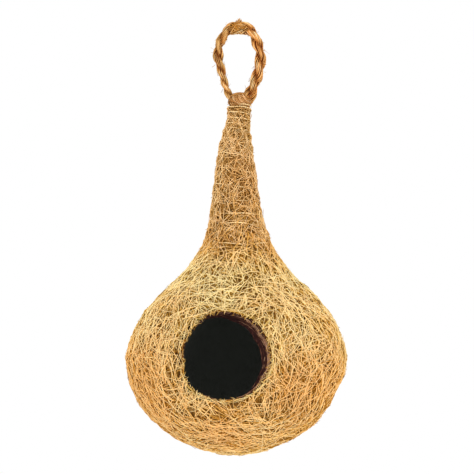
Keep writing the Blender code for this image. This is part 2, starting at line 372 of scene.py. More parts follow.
def on_lip(felt, angle, across):
    """Places on the entrance's lip, and the directions straight out from it there.

    angle goes round the entrance. across runs from outside the rim, below zero, over the
    rolled edge and along the wall inwards.
    """
    edge = round_rim(felt, angle)
    wall = unit(ENTRANCE_SKEW + np.array((0.0, WALL, 0.0)))
    inward = -np.stack([np.cos(angle), 0 * angle, np.sin(angle)], -1)
    inward = unit(inward - (inward @ wall)[..., None] * wall)
    out_place, out_normal = felt.settle(round_rim(felt, angle, np.maximum(-across, LIP_EDGE)))
    in_place = edge + wall * np.maximum(across, LIP_EDGE)[..., None]
    t = np.clip((across / LIP_EDGE + 1) / 2, 0, 1)[..., None]
    rolled = (1 - t) ** 2 * out_place + 2 * t * (1 - t) * edge + t**2 * in_place
    place = np.where(t <= 0, out_place, np.where(t >= 1, in_place, rolled))
    return place, unit(out_normal * (1 - t) + inward * t)


def from_wall(felt, points):
    """How far each point is outside the entrance's skewed wall, and how deep inwards."""
    x, z = points[:, 0] - ENTRANCE_X, points[:, 2] - ENTRANCE_Z
    angle = np.arctan2(z, x)
    deep = points[:, 1] - round_rim(felt, angle)[:, 1]
    shift = np.maximum(deep, 0)[:, None] * ENTRANCE_SKEW / WALL
    x, z = x - shift[:, 0], z - shift[:, 2]
    angle = np.arctan2(z, x)
    return np.hypot(x, z) - rim_radius(angle), angle, deep


def trimmed(paths, outside):
    """Fibres cut short where they would leave the places that are marked as outside."""
    points = paths.shape[1]
    kept = outside[:, 0] & outside[:, 1]
    stop = np.where(outside.all(1), points, (~outside).argmax(1)) - 1
    kept &= stop >= 0.35 * points
    at = np.linspace(0, 1, points)[None] * stop[:, None]
    low = np.minimum(at.astype(int), points - 2)
    t = (at - low)[..., None]
    rows = np.arange(len(paths))[:, None]
    return (paths[rows, low] * (1 - t) + paths[rows, low + 1] * t)[kept], kept


def rolled_over(felt, paths):
    """Fibres laid on the felt and over the lip: their places, outward directions and depths."""
    far, angle = from_entrance(paths)
    place, normal = felt.settle(paths)
    lip_place, lip_normal = on_lip(felt, angle, -far)
    near = (far < LIP_EDGE)[..., None]
    return np.where(near, lip_place, place), np.where(near, lip_normal, normal), -far


# ---------------------------------------------------------------------- fibre meshes


class Strands:
    """Tapering fibres gathered into one mesh, each with its own tone and warmth."""

    def __init__(self, sides=3):
        self.sides = sides
        self.places, self.looks, self.quads, self.threes = [], [], [], []
        self.count = 0

    def add(self, paths, normals, radii, tone, warmth, edge=0.5):
        """Fibres along paths of shape (fibre, point, xyz). Their ends come to a point.

        edge is how much darker a fibre is painted along its sides than on its back: painted shade
        on its sides and a painted highlight along its back.
        """
        fibres, points = paths.shape[:2]
        sides = self.sides
        along = unit(np.gradient(paths, axis=1))
        side = unit(np.cross(along, normals))
        up = np.cross(side, along)
        radii = np.broadcast_to(radii, (fibres, points))
        turn = 2 * math.pi * np.arange(sides) / sides + math.pi / 2
        ring = (
            np.cos(turn)[:, None] * side[:, 1:-1, None]
            + np.sin(turn)[:, None] * up[:, 1:-1, None]
        )
        ring = paths[:, 1:-1, None] + radii[:, 1:-1, None, None] * ring
        rings = points - 2
        corners = np.concatenate(
            [paths[:, :1], ring.reshape(fibres, rings * sides, 3), paths[:, -1:]], 1
        )
        self.places.append(corners.reshape(-1, 3))
        looks = np.broadcast_arrays(tone, warmth, np.zeros((fibres, points)))
        looks = np.stack(looks[:2], -1)
        at = np.r_[0, np.repeat(np.arange(1, points - 1), sides), points - 1]
        place = np.r_[1, np.tile(np.arange(sides), rings), 1]
        nudge = np.stack([place, at % 2], 1)
        looks = looks[:, at]
        # Painted shade on each fibre's sides and a painted highlight along its back, set by the
        # corner's place round the ring.
        back = np.r_[0, np.tile(np.sin(turn), rings), 0]
        looks[..., 0] = np.clip(looks[..., 0] + edge * (back - 0.5), 0.01, 0.99)
        nudge = np.broadcast_to(nudge, (fibres, len(at), 2))
        self.looks.append(np.concatenate([looks, nudge], -1).reshape(-1, 4))
        self.join(fibres, rings)

    def add_one(self, path, normal, radius, tone, warmth, edge=0.5):
        """One fibre along a path of shape (point, xyz)."""
        radius, tone, warmth = (np.atleast_1d(value)[None] for value in (radius, tone, warmth))
        normals = np.broadcast_to(normal, path.shape)[None]
        self.add(path[None], normals, radius, tone, warmth, edge)

    def join(self, fibres, rings):
        """The faces of some fibres, each of which has this many rings between its two tips."""
        sides = self.sides
        first = self.count + np.arange(fibres)[:, None, None] * (rings * sides + 2)
        k = np.arange(rings - 1)[:, None]
        j = np.arange(sides)
        here, beside = 1 + k * sides + j, 1 + k * sides + (j + 1) % sides
        quads = np.stack([here, here + sides, beside + sides, beside], -1).reshape(-1, 4)
        self.quads.append((first + quads).reshape(-1, 4))
        last = 1 + (rings - 1) * sides
        start = np.stack([0 * j, 1 + j, 1 + (j + 1) % sides], 1)
        end = np.stack([0 * j + rings * sides + 1, last + (j + 1) % sides, last + j], 1)
        self.threes.append((first + np.concatenate([start, end])).reshape(-1, 3))
        self.count += fibres * (rings * sides + 2)

    def piece(self, name, material):
        """The gathered fibres as one object."""
        places, looks = np.concatenate(self.places), np.concatenate(self.looks)
        quads, threes = np.concatenate(self.quads), np.concatenate(self.threes)
        mesh = mesh_of(name, places, [quads, threes])
        add_numbers(mesh, "tone", looks[:, 0])
        add_numbers(mesh, "warmth", looks[:, 1])
        # The map is a chart of tone and warmth, so that fibres of one colour share a spot.
        chart = 0.02 + 0.95 * np.clip(looks[:, :2], 0, 1) + 0.004 * looks[:, 2:]
        layer = mesh.uv_layers.new(name=UV_NAME)
        corner = np.empty(len(mesh.loops), np.int32)
        mesh.loops.foreach_get("vertex_index", corner)
        layer.uv.foreach_set("vector", chart[corner].astype(np.float32).ravel())
        return add_object(name, mesh, material)


def mesh_of(name, places, faces):
    """A smooth mesh from corner places and arrays of faces."""
    mesh = bpy.data.meshes.new(name)
    mesh.vertices.add(len(places))
    mesh.vertices.foreach_set("co", np.asarray(places, np.float32).ravel())
    corners = np.concatenate([face.ravel() for face in faces]).astype(np.int32)
    sizes = np.concatenate([np.full(len(face), face.shape[1]) for face in faces])
    mesh.loops.add(len(corners))
    mesh.loops.foreach_set("vertex_index", corners)
    mesh.polygons.add(len(sizes))
    starts = np.r_[0, np.cumsum(sizes)[:-1]].astype(np.int32)
    mesh.polygons.foreach_set("loop_start", starts)
    mesh.update(calc_edges=True)
    mesh.validate()
    mesh.shade_smooth()
    return mesh


def add_numbers(mesh, name, values):
    """A number for each corner of a mesh, for its material to read."""
    layer = mesh.attributes.new(name=name, type="FLOAT", domain="POINT")
    layer.data.foreach_set("value", np.ascontiguousarray(values, np.float32))


def vectors_of(mesh, name):
    """The places or the normals of a mesh's corners."""
    values = np.empty(len(mesh.vertices) * 3, np.float32)
    mesh.vertices.foreach_get(name, values)
    return values.reshape(-1, 3)


def add_object(name, data, material=None):
    """An object in the scene, with its one material if it has one."""
    item = bpy.data.objects.new(name, data)
    bpy.context.scene.collection.objects.link(item)
    if material:
        data.materials.append(material)
    return item


def part_of_nest(item, slot, *nodes):
    """The piece rides on the nest's one body, and may stand for solids of the frame."""
    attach(item, BODY)
    if nodes:
        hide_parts(*nodes)
    return item


# -------------------------------------------------------------------------- materials


class Wire:
    """A value in a material's nodes. Sums, differences and products of wires add Math nodes."""

    def __init__(self, paint, socket):
        self.paint = paint
        self.socket = socket

    def maths(self, operation, first, second):
        """A Math node that joins two values."""
        return self.paint.add("ShaderNodeMath", {"operation": operation}, {0: first, 1: second})

    def __add__(self, other):
        return self.maths("ADD", self, other)

    def __radd__(self, other):
        return self.maths("ADD", other, self)

    def __rsub__(self, other):
        return self.maths("SUBTRACT", other, self)

    def __rmul__(self, other):
        return self.maths("MULTIPLY", other, self)


class Paint:
    """The nodes of one material."""

    def __init__(self, name):
        self.material = bpy.data.materials.new(name)
        self.material.use_nodes = True
        self.tree = self.material.node_tree
        self.shader = self.tree.nodes["Principled BSDF"]

    def plug(self, socket, value):
        """A wire, a colour or a plain value into a socket."""
        if isinstance(value, Wire):
            self.tree.links.new(value.socket, socket)
        elif hasattr(value, "__len__") and len(value) == 3 and socket.type == "RGBA":
            socket.default_value = (*value, 1.0)
        else:
            socket.default_value = value

    def add(self, kind, settings=None, inputs=None, output=0):
        """A node with its settings made first, then the values or wires of its sockets."""
        node = self.tree.nodes.new(kind)
        for setting, value in (settings or {}).items():
            if setting == "stops":
                ramp = node.color_ramp
                for place, colour in value[len(ramp.elements) :]:
                    ramp.elements.new(place)
                for stop, (place, colour) in zip(ramp.elements, value):
                    stop.position = place
                    stop.color = (*colour, 1.0)
            else:
                setattr(node, setting, value)
        for socket, value in (inputs or {}).items():
            self.plug(node.inputs[socket], value)
        return Wire(self, node.outputs[output])

    def attribute(self, name):
        """The numbers that the mesh carries under this name."""
        return self.add("ShaderNodeAttribute", {"attribute_name": name}, output="Fac")

    def noise(self, scale, detail=2.0):
        """Cloudy noise, fixed to the object."""
        place = self.add("ShaderNodeTexCoord", output="Object")
        inputs = {"Vector": place, "Scale": scale, "Detail": detail}
        return self.add("ShaderNodeTexNoise", None, inputs)

    def ramp(self, stops, value):
        """A colour for each value, blended between stops of a place and a colour."""
        return self.add("ShaderNodeValToRGB", {"stops": stops}, {0: value})

    def mix(self, factor, first, second):
        """One colour into another."""
        inputs = {0: factor, 6: first, 7: second}
        return self.add("ShaderNodeMix", {"data_type": "RGBA"}, inputs, 2)

    def finish(self, inputs):
        """The material, with these values or wires on its shader's sockets."""
        for socket, value in inputs.items():
            self.plug(self.shader.inputs[socket], value)
        return self.material


def fibre_paint(name, shades, warm_shades, shine=0.08):
    """Dry fibre. Tone runs from the first shade to the last, and warmth mixes in the others."""
    paint = Paint(name)
    tone = paint.attribute("tone")
    even = np.linspace(0, 1, len(shades))
    cool = paint.ramp(list(zip(even, shades)), tone)
    warm = paint.ramp(list(zip(even, warm_shades)), tone)
    return paint.finish(
        {
            "Base Color": paint.mix(paint.attribute("warmth"), cool, warm),
            "Roughness": 0.62 + 0.18 * (1 - tone),
            "Specular IOR Level": shine,
        }
    )


def felt_paint(name, pit_shade, fluff, wall_painted_shade, lining):
    """The matted ground under the fibres: brown fluff and pits outside, with painted shade on the
    entrance's wall and inside the chamber.
    """
    paint = Paint(name)
    fluff_noise = paint.noise(420.0, 4.0)
    inside = paint.attribute("lining")
    # Pits of painted shade are mixed into the brown fluff by noise.
    ground = paint.ramp([(0.35, pit_shade), (0.62, fluff)], 0.75 * fluff_noise + 0.25 * paint.noise(60.0))
    bump = {"Strength": 0.6, "Distance": 0.6 * MM, "Height": fluff_noise}
    outside = paint.mix(paint.attribute("wall"), ground, wall_painted_shade)
    return paint.finish(
        {
            "Base Color": paint.mix(inside, outside, lining),
            "Roughness": 0.85 + 0.1 * inside,
            "Specular IOR Level": 0.05,
            "Normal": paint.add("ShaderNodeBump", None, bump),
        }
    )


# ------------------------------------------------------------------- sizes and colours


def colour_choice(name, description, default):
    """A colour to choose in the panel."""
    return bpy.props.FloatVectorProperty(
        name=name, description=description, subtype="COLOR", size=3, min=0, max=1, default=default
    )


def length_choice(name, description, default):
    """A length to choose in the panel."""
    return bpy.props.FloatProperty(
        name=name, description=description, default=default, min=0, unit="LENGTH", precision=4
    )


class NestSizes(bpy.types.PropertyGroup):
    """Sizes of the fibres, the rope's yarns and the thread."""

    fibre_width: length_choice("Fibre width", "Usual thickness of a coir fibre", 0.72 * MM)
    fibre_length: length_choice("Fibre length", "Usual length of a fibre in the bulb", 21 * MM)
    ground_depth: length_choice(
        "Ground depth", "How far the matted ground lies under the outside", 2.3 * MM
    )
    yarn_width: length_choice("Yarn width", "Thickness of a fibre bundle in the rope", 0.95 * MM)
    thread_width: length_choice("Thread width", "Thickness of the binding thread", 0.95 * MM)
    layers: bpy.props.FloatProperty(
        name="Layers", description="How many times the fibres cover the felt", default=2.4, min=0
    )


class NestColours(bpy.types.PropertyGroup):
    """Colours of the fibres, the rope, the thread and the studio."""

    # The pit colour is painted shade deep between the fibres.
    pit_shade: colour_choice("Pit", "Deep between the fibres", (0.13, 0.050, 0.004))
    brown: colour_choice("Brown", "Shaded fibres", (0.53, 0.28, 0.03))
    gold: colour_choice("Gold", "Most fibres", (0.90, 0.635, 0.18))
    straw: colour_choice("Straw", "The palest fibres", (1.0, 0.92, 0.58))
    amber: colour_choice("Amber", "Fibres of the warmer parts", (0.90, 0.42, 0.07))
    rust: colour_choice("Rust", "Shaded fibres of the warmer parts", (0.55, 0.23, 0.025))
    ember: colour_choice("Ember", "The darkest red fibres", (0.20, 0.066, 0.006))
    # The inside of the chamber is painted darker, as shade.
    lining: colour_choice("Lining", "Inside of the chamber", (0.19, 0.20, 0.18))
    thread: colour_choice("Thread", "Pale binding thread", (1.0, 0.73, 0.37))
    floor: colour_choice("Floor", "Studio floor", (0.95, 0.95, 0.95))


def sizes():
    """The sizes chosen in the panel."""
    return bpy.context.scene.coir_nest_sizes


def colours():
    """The colours chosen in the panel."""
    return bpy.context.scene.coir_nest_colours


def felt_shades():
    """The bulb's felt: shades from dark to pale, and the same ones warmer."""
    shade = colours()
    cool = [tuple(shade.pit_shade), tuple(shade.brown), tuple(shade.gold), tuple(shade.straw)]
    warm = [tuple(shade.ember), tuple(shade.rust), tuple(shade.amber), (0.98, 0.69, 0.33)]
    return cool, warm


def neck_shades():
    """The felt of the neck is a little duller and pinker than the bulb's."""
    shade = colours()
    cool = [tuple(shade.pit_shade), (0.50, 0.27, 0.05), (0.84, 0.59, 0.24), (1.0, 0.85, 0.54)]
    warm = [tuple(shade.ember), (0.52, 0.235, 0.045), (0.86, 0.47, 0.15), (1.0, 0.77, 0.46)]
    return cool, warm


# -------------------------------------------------------------------------- operators


class NEST_OT_studio(bpy.types.Operator):
    """Camera, pale floor and soft studio light"""

    bl_idname = "coir_nest.studio"
    bl_label = "Studio"

    def execute(self, context):
        scene = context.scene
        scene.view_settings.view_transform = "Standard"
        lens, sensor = 200.0, 36.0
        away = PICTURE_HEIGHT * lens / sensor
        camera = add_object("camera", bpy.data.cameras.new("camera"))
        camera.data.lens = lens
        camera.data.sensor_width = sensor
        camera.data.clip_start = 0.01
        sideways, back = math.sin(CAMERA_TURN), -math.cos(CAMERA_TURN)
        camera.location = CAMERA_AIM + away * Vector((sideways, back, 0.0))
        camera.rotation_euler = (math.pi / 2, 0.0, CAMERA_TURN)
        scene.camera = camera

        paint = Paint("studio_floor")
        cloud = paint.noise(3.0)
        shade = tuple(colours().floor)
        dim = tuple(0.97 * value for value in shade)
        material = paint.finish({"Base Color": paint.mix(cloud, shade, dim), "Roughness": 0.9})
        reach, z = 8.0, -1.5
        corners = [(-reach, -reach, z), (reach, -reach, z), (reach, reach, z), (-reach, reach, z)]
        floor = add_object("floor", mesh_of("floor", corners, [np.array([[0, 1, 2, 3]])]), material)

        world = bpy.data.worlds.new("studio")
        scene.world = world
        world.use_nodes = True
        backdrop = world.node_tree.nodes["Background"].inputs
        backdrop["Color"].default_value = (1, 1, 1, 1)
        backdrop["Strength"].default_value = 1.0
        self.lamp("key", (-0.45, -1.5, 0.75), 0.6, 13.0)
        self.lamp("fill", (1.0, -1.3, -0.8), 1.0, 11.0)
        return {"FINISHED"}

    def lamp(self, name, place, size, power):
        """A soft square lamp, turned to the nest."""
        light = bpy.data.lights.new(name, "AREA")
        light.size = size
        light.energy = power
        lamp = add_object(name, light)
        lamp.location = place
        lamp.rotation_euler = (CAMERA_AIM - Vector(place)).to_track_quat("-Z", "Y").to_euler()


def rope_line():
    """The rope's middle at even steps, how far along each point is, and its half-thickness."""
    route = np.array([(x, 0.0, z) for x, z in ROPE_ROUTE])
    line, walked = even_line(smooth_line(route, 12), 1.5 * MM)
    girth, place = np.array(ROPE_GIRTH).T
    uneven = 1 + 0.03 * ripple(line, 25 * MM, 21)
    return line, walked, uneven * np.interp(walked / walked[-1], place, girth * MM) / 2


def wound(line, turn, reach):
    """A line wound round another at this reach, with these angles along it."""
    _, across, level = square_to(line)
    turn = turn[:, None]
    off = np.cos(turn) * across + np.sin(turn) * level
    return line + np.asarray(reach)[..., None] * off, off


def curled(start, lean, length, curl, points):
    """Short fibres that set off one way from their starts and curl off another."""
    t = np.linspace(0, 1, points)[None, :, None]
    return start[:, None] + length * (t * lean[:, None] + t**2 * curl)


class NEST_OT_rope(bpy.types.Operator):
    """Twisted coir rope of the hanging loop, with its hairs"""

    bl_idname = "coir_nest.rope"
    bl_label = "Rope Loop"

    def execute(self, context):
        shade = colours()
        warm = [(0.16, 0.03, 0.006), (0.42, 0.14, 0.025), (0.74, 0.33, 0.08), (1.0, 0.68, 0.34)]
        cool = [(0.12, 0.04, 0.008), (0.36, 0.17, 0.04), (0.64, 0.38, 0.14), tuple(shade.straw)]
        paint = fibre_paint("coir_rope", cool, warm)
        rng = draws("rope")
        line, walked, half = rope_line()
        strands = Strands()
        width = sizes().yarn_width
        turns = np.cumsum(np.diff(walked, prepend=0.0) / (2 * half)) / ROPE_LAY
        for ply in range(2):
            turn = ROPE_START_TURN + math.pi * ply + 2 * math.pi * turns
            middle, outward = wound(line, turn, 0.40 * half)
            core = 0.58 * half
            # The ply's dark core is painted shade, seen in the gaps between its yarns.
            strands.add_one(middle, Y_AXIS, 0.85 * core, 0.08, 0.9)
            for yarn in range(ROPE_YARNS):
                phase = 2 * math.pi * yarn / ROPE_YARNS + rng.uniform(-0.1, 0.1)
                lay = -rng.uniform(30, 46) * MM
                wander = 0.16 * MM * ripple(walked[:, None] * np.ones(3), 9 * MM, yarn + 50 * ply)
                reach = core - 0.38 * width + wander
                path, off = wound(middle, phase + 2 * math.pi * walked / lay, reach)
                thick = 0.5 * width * (0.9 + 0.25 * ripple(path, 7 * MM, yarn + 90))
                # Painted shade: yarns that face into the groove between the plies are darker and
                # redder, and the left leg is a little darker. The right leg's extra warmth is the
                # rope's own colour.
                groove_shade = blended(0.75, -0.35, (off * outward).sum(1))
                tone = rng.uniform(0.52, 0.82) + 0.12 * ripple(path, 8 * MM, yarn + 170)
                right = blended(-4 * MM, 4 * MM, path[:, 0])
                tone = tone - 0.10 * np.maximum(ripple(path, 11 * MM, 27 + ply), 0)
                tone = np.clip(tone - 0.42 * groove_shade - 0.02 * (1 - right), 0.02, 0.94)
                warmth = rng.uniform(0.0, 0.8) + 0.3 * ripple(path, 10 * MM, 29 + ply)
                warmth = np.clip(warmth - 0.2 + 0.4 * right + 0.25 * groove_shade, 0, 1)
                strands.add_one(path, off, thick, tone, warmth, 0.14)
        rope = strands.piece("hanging_rope", paint)
        part_of_nest(rope, "coir_rope", "rope_strand_a", "rope_strand_b")
        hairs = self.hairs(rng, line, half)
        part_of_nest(hairs.piece("rope_hairs", paint), "coir_rope")
        return {"FINISHED"}

    def hairs(self, rng, line, half):
        """Short hairs that stand off the rope, except at its feet."""
        count, points, foot = ROPE_HAIRS, 5, 14
        at = rng.integers(foot, len(line) - foot, count)
        along, across, level = (vectors[at] for vectors in square_to(line))
        turn = rng.uniform(0, 2 * math.pi, count)[:, None]
        out = np.cos(turn) * across + np.sin(turn) * level
        lean = out * rng.uniform(0.3, 1.0, (count, 1)) + along * rng.choice([-1, 1], (count, 1))
        lean = unit(lean)
        start = line[at] + out * (half[at] * rng.uniform(0.75, 0.98, count))[:, None]
        length = rng.uniform(1.5, 4.5, (count, 1, 1)) * MM
        paths = curled(start, lean, length, rng.normal(0, 0.35, (count, 1, 3)), points)
        normals = np.broadcast_to(np.cross(lean, out)[:, None], paths.shape)
        thick = rng.uniform(0.10, 0.20, (count, 1)) * MM
        hairs = Strands()
        hairs.add(paths, unit(normals), thick, rng.uniform(0.45, 1.0, (count, 1)), 0.4)
        return hairs


class NEST_OT_loop_wad(bpy.types.Operator):
    """Coir wound round the crown of the rope, with its tuft"""

    bl_idname = "coir_nest.loop_wad"
    bl_label = "Wad On The Loop"

    def execute(self, context):
        shade = colours()
        warm = [(0.14, 0.025, 0.006), tuple(shade.rust), (0.72, 0.34, 0.10), (1.0, 0.66, 0.30)]
        cool = [(0.12, 0.05, 0.012), (0.42, 0.22, 0.07), (0.74, 0.46, 0.18), tuple(shade.straw)]
        paint = fibre_paint("coir_wad", cool, warm)
        rng = draws("loop wad")
        line, walked, half = rope_line()
        low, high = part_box("loop_wad")
        inside = (line[:, 0] > low.x) & (line[:, 0] < high.x) & (line[:, 2] > low.z)
        line, walked, half = line[inside], walked[inside], half[inside]
        middle, span = (walked[0] + walked[-1]) / 2, 8.0 * MM
        swell = np.sqrt(np.clip(1 - ((walked - middle) / span) ** 2, 0, 1))
        sag = np.array((0.0, 0.0, -1.5 * MM)) * swell[:, None]
        strands = Strands()
        reach = half - 0.6 * MM + 0.6 * MM * swell
        # The dark core is painted shade, seen in the gaps between the wad's fibres.
        strands.add_one(line + sag, Y_AXIS, reach - 0.7 * MM, 0.10, 0.7)
        t = np.linspace(-1, 1, 14)
        for _ in range(LOOP_WAD_FIBRES):
            turns = rng.uniform(0.05, 0.42) * rng.choice([-1, 1], p=[0.4, 0.6])
            centre, width = rng.uniform(-0.7, 0.5), rng.uniform(0.4, 0.8)
            at = np.clip(middle + span * (centre + width * t), walked[0], walked[-1])
            spine = np.stack([np.interp(at, walked, column) for column in (line + sag).T], 1)
            lift = np.interp(at, walked, reach) + rng.uniform(-0.6, 0.4) * MM
            turn = rng.uniform(0, 2 * math.pi) + math.pi * turns * t
            path, off = wound(spine, turn, lift)
            thick = rng.uniform(0.3, 0.5) * MM
            right = blended(-3 * MM, 4 * MM, path[:, 0])
            # Fibres under the wad are paler and less red: partly their own colour, partly a painted
            # highlight.
            below = blended(-0.2, 0.9, -off[:, 2])
            tone = np.clip(rng.uniform(-0.28, 0.60) + 0.20 * below + 0.20 * right, 0.02, 0.98)
            warmth = np.clip(rng.uniform(0.4, 1.1) - 0.4 * below, 0, 1)
            strands.add_one(path, off, thick, tone, warmth)
        self.add_tuft(rng, strands, line)
        part_of_nest(strands.piece("loop_wad_fibres", paint), "coir_wad", "loop_wad")
        return {"FINISHED"}

    def add_tuft(self, rng, strands, line):
        """Short ends that stand up from the crown of the wad."""
        count, points = TUFT_FIBRES, 6
        base = line[np.abs(line[:, 0]).argmin()]
        start = base + rng.normal(0, 0.8, (count, 3)) * MM + np.array((0.2, -1.6, 3.0)) * MM
        lean = unit(rng.normal(0, 0.8, (count, 3)) + np.array((-0.1, 0, 1.0)))
        curl = rng.normal(0, 0.5, (count, 1, 3))
        length = rng.uniform(0.8, 1.9, (count, 1, 1)) * MM
        paths = curled(start, lean, length, curl, points)
        normals = np.broadcast_to(Y_AXIS, paths.shape)
        thick = rng.uniform(0.25, 0.42, (count, 1)) * MM
        strands.add(paths, normals, thick, rng.uniform(0.35, 0.80, (count, 1)), 0.45, 0.1)


class NEST_OT_felt_ground(bpy.types.Operator):
    """Matted ground of the felt, with its wall and its soft lip, painted dark with shade on the
    wall and inside
    """

    bl_idname = "coir_nest.felt_ground"
    bl_label = "Felt Ground"

    def execute(self, context):
        shade = colours()
        felt = Felt("nest_body")
        ground = self.remeshed(context)
        solid = ground.data
        corners = vectors_of(solid, "co").astype(float)
        normals = vectors_of(solid, "normal")
        place, outward = felt.settle(corners)
        depth = -((corners - place) * outward).sum(1)
        outer = 1 - blended(1.5 * MM, 5 * MM, depth)
        shift = felt.swell(place) * outer - sizes().ground_depth * (0.35 + 0.65 * outer)
        rough = 0.35 * MM * ripple(corners, 4.5 * MM, 31)
        corners = corners + normals * (shift + rough)[:, None]
        far, angle, deep = from_wall(felt, corners)
        front = (deep > -8 * MM) & (deep < 24 * MM) & (corners[:, 1] < -40 * MM)
        push = np.where(front, np.maximum(0.9 * MM - far, 0), 0)
        corners[:, 0] += push * np.cos(angle)
        corners[:, 2] += push * np.sin(angle)
        solid.vertices.foreach_set("co", corners.astype(np.float32).ravel())
        # Painted shade: the inside of the chamber and the ground on the entrance's wall are made
        # dark.
        add_numbers(solid, "lining", blended(3.5 * MM, 8 * MM, depth))
        add_numbers(solid, "wall", np.where(front, 1 - blended(1.5 * MM, 3 * MM, far + push), 0))
        solid.update()
        solid.shade_smooth()
        # The fluff is the ground's own brown; the near-black of the entrance's wall is painted
        # shade.
        fluff, wall_painted_shade = (0.25, 0.12, 0.03), (0.02, 0.007, 0.006)
        paint = felt_paint("felt_ground", tuple(shade.pit_shade), fluff, wall_painted_shade, tuple(shade.lining))
        solid.materials.append(paint)
        part_of_nest(ground, "coir_felt", "nest_body")
        return {"FINISHED"}

    def remeshed(self, context):
        """The frame's solid as one mesh of even faces, with its edges softened."""
        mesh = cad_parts["nest_body"].data.copy()
        mesh.materials.clear()
        ground = add_object("felt_ground", mesh)
        remesh = ground.modifiers.new("mat", "REMESH")
        remesh.mode = "VOXEL"
        remesh.voxel_size = GROUND_MESH
        smooth = ground.modifiers.new("soften", "SMOOTH")
        smooth.factor = 0.5
        smooth.iterations = 6
        context.view_layer.update()
        made = ground.evaluated_get(context.evaluated_depsgraph_get())
        solid = bpy.data.meshes.new_from_object(made)
        ground.modifiers.clear()
        ground.data = solid
        bpy.data.meshes.remove(mesh)
        return ground


def over_the_felt(
    felt, rng, top, bottom, amount, heading, fibre_width, fibre_length, lifts, points=7, kink=0.08
):
    """One layer of fibres between two heights, ready to be gathered.

    amount is how many times the layer covers the felt, and heading(places) gives each fibre's
    usual heading and how much it may stray from it.
    """
    zone = (felt.height <= top) & (felt.height >= bottom)
    area = 2 * math.pi * felt.radius[zone].sum() * felt.along[1]
    count = int(amount * area / (fibre_width * fibre_length))
    start = felt.scatter(rng, count, top, bottom)
    place, normal = felt.settle(start)
    level = unit(np.cross((0.0, 0.0, 1.0), normal))
    down = np.cross(level, normal)
    usual, stray = heading(place)
    angle = usual + rng.normal(0, 1, count) * stray + rng.choice([0, math.pi], count)
    forward = np.cos(angle)[:, None] * down + np.sin(angle)[:, None] * level
    length = fibre_length * rng.uniform(0.5, 1.6, count)
    curl = on_neck(place[:, 2])
    bend = rng.normal(0, 1, count) * (10 + 52 * curl)
    kinks = np.diff(rng.normal(0, 1, (count, points)), axis=1) * (kink + 0.12 * curl)[:, None]
    paths = grown(felt, place, forward, length, bend, kinks)
    most_inside = rng.uniform(0.3, 3.5, (count, 1)) * MM
    outside = (from_entrance(paths)[0] > -most_inside) & (paths[..., 2] < felt.top - 0.3 * MM)
    paths, kept = trimmed(paths, outside)
    count = len(paths)
    length = length[kept]
    place, normal, across = rolled_over(felt, paths)
    t = np.linspace(0, 1, points)[None]
    lift = rng.uniform(*lifts, (count, 1))
    wave = 0.40 * np.sin(rng.uniform(0, 6.28, (count, 1)) + t * length[:, None] / (2.2 * MM))
    ends = np.maximum(np.abs(2 * t - 1) - 0.65, 0) / 0.35
    turn_in = blended(-LIP_EDGE, LIP_EDGE, across)
    height = (lift + wave - 1.2 * ends**2) * MM * (1 - 0.5 * turn_in)
    height = height + felt.swell(place) * (1 - turn_in)
    return place + normal * height[..., None], normal, t, turn_in


def turned_in(tone, warmth, turn_in):
    """The same looks, but darkened with painted shade and made red where the fibres have turned
    into the entrance.
    """
    tone = np.clip(tone * (1 - 0.97 * blended(0.26, 0.40, turn_in)), 0.02, 0.99)
    return tone, np.maximum(warmth, blended(0.36, 0.46, turn_in))


def fibre_heading(place):
    """How the fibres of each part of the nest tend to lie, and how far they may stray from it."""
    # Straight down is angle 0, and towards +X is a quarter turn.
    z = place[:, 2]
    side = blended(35 * MM, 80 * MM, np.abs(place[:, 0]))
    stray = 0.62 + 0.40 * side
    neck = blended(-190 * MM, -168 * MM, z)
    collar = blended(-80 * MM, -76 * MM, z)
    base = blended(-302 * MM, -320 * MM, z)
    patches = 0.5 * ripple(place, 42 * MM, 41) * (1 - neck) * (1 - base)
    usual = 1.4 * collar + 1.35 * base * (1 - 0.5 * side) + patches
    stray = stray + 0.2 * neck + 0.2 * collar
    far, angle = from_entrance(place)
    reach = (22 + 12 * np.sin(angle)) * MM
    near_rim = (1 - blended(0.2, 1.0, far / reach)) * 0.85
    near_rim = near_rim * (0.2 + 0.8 * blended(-0.95, -0.5, np.sin(angle)))
    tangent = (-angle + math.pi / 2) % math.pi - math.pi / 2
    usual = usual * (1 - near_rim) + tangent * near_rim
    stray = stray * (1 - near_rim) + 0.75 * near_rim
    return usual, stray


def felt_look(paths, normal, rng, usual, stray):
    """Tone and warmth: the crown is yellow, and the sides, the base and the neck are warmer.
    Painted shade darkens the flanks that turn away from the front, the bottom, and most of all the
    lower right.
    """
    count = len(paths)
    x, z = paths[..., 0], paths[..., 2]
    neck = blended(-206 * MM, -164 * MM, z)
    side = blended(20 * MM, 85 * MM, np.abs(x))
    # Painted shade where the felt turns away from the front to its flanks.
    flank_shade = blended(0.55, 0.05, np.abs(normal[..., 1])) * (1 - neck)
    # Painted shade: the lower part is darker, most of all at the lower right.
    low = blended(-270 * MM, -325 * MM, z)
    right = blended(-20 * MM, 50 * MM, x)
    tone = stray * (1 + 0.6 * side + 1.2 * flank_shade + 0.8 * low) * rng.normal(0, 1, (count, 1))
    tone = usual + tone - 0.30 * flank_shade - (0.04 + 0.11 * right) * low
    tone = tone + 0.05 * ripple(paths, 45 * MM, 61)
    # Towards the bottom the felt is warmer, which is its own colour, and a little darker, which is
    # painted shade.
    drop = blended(-225 * MM, -300 * MM, z)
    tone = tone - (0.40 + 0.04 * blended(-90 * MM, -120 * MM, z)) * neck - 0.06 * drop
    warmth = 0.15 + 0.45 * side + 0.6 * drop + 0.6 * neck + 0.13 * ripple(paths, 70 * MM, 62)
    warmth = warmth - 0.22 * flank_shade + rng.normal(0, 0.16, (count, 1))
    return np.clip(tone, 0.02, 0.99), np.clip(warmth, 0, 1)


